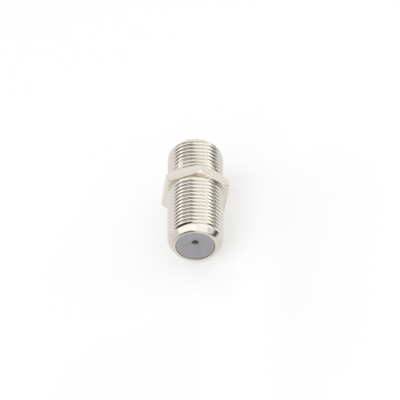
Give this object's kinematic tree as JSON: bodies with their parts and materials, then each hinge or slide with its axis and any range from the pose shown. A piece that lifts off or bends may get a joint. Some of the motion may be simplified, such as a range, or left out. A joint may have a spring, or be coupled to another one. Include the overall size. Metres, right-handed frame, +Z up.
{
  "type": "double female f connector coupler",
  "caption": "Threaded barrel coupler with a hexagon between its ends, plastic bushes in both mouths and a spring contact inside for the centre wire.",
  "frame": {"origin": "on the ground under the middle of the part, as it lies on one flat of its hexagon and on the first full thread of its longer end", "axes": "+Z up; +Y from the near, longer end towards the far end, with the connector's axis rising 4.2 degrees towards +Y; +X to the right"},
  "size_m": [0.0124, 0.0216, 0.0109],
  "materials": {
    "nickel_plate": "bright, slightly warm nickel plate on turned brass",
    "grey_plastic": "moulded, satin",
    "contact_bronze": "bright phosphor bronze"
  },
  "bodies": {
    "root": {"body": "nickel_plate", "front_insulator": "grey_plastic", "rear_insulator": "grey_plastic", "centre_contact": "contact_bronze"}
  },
  "joints": []
}
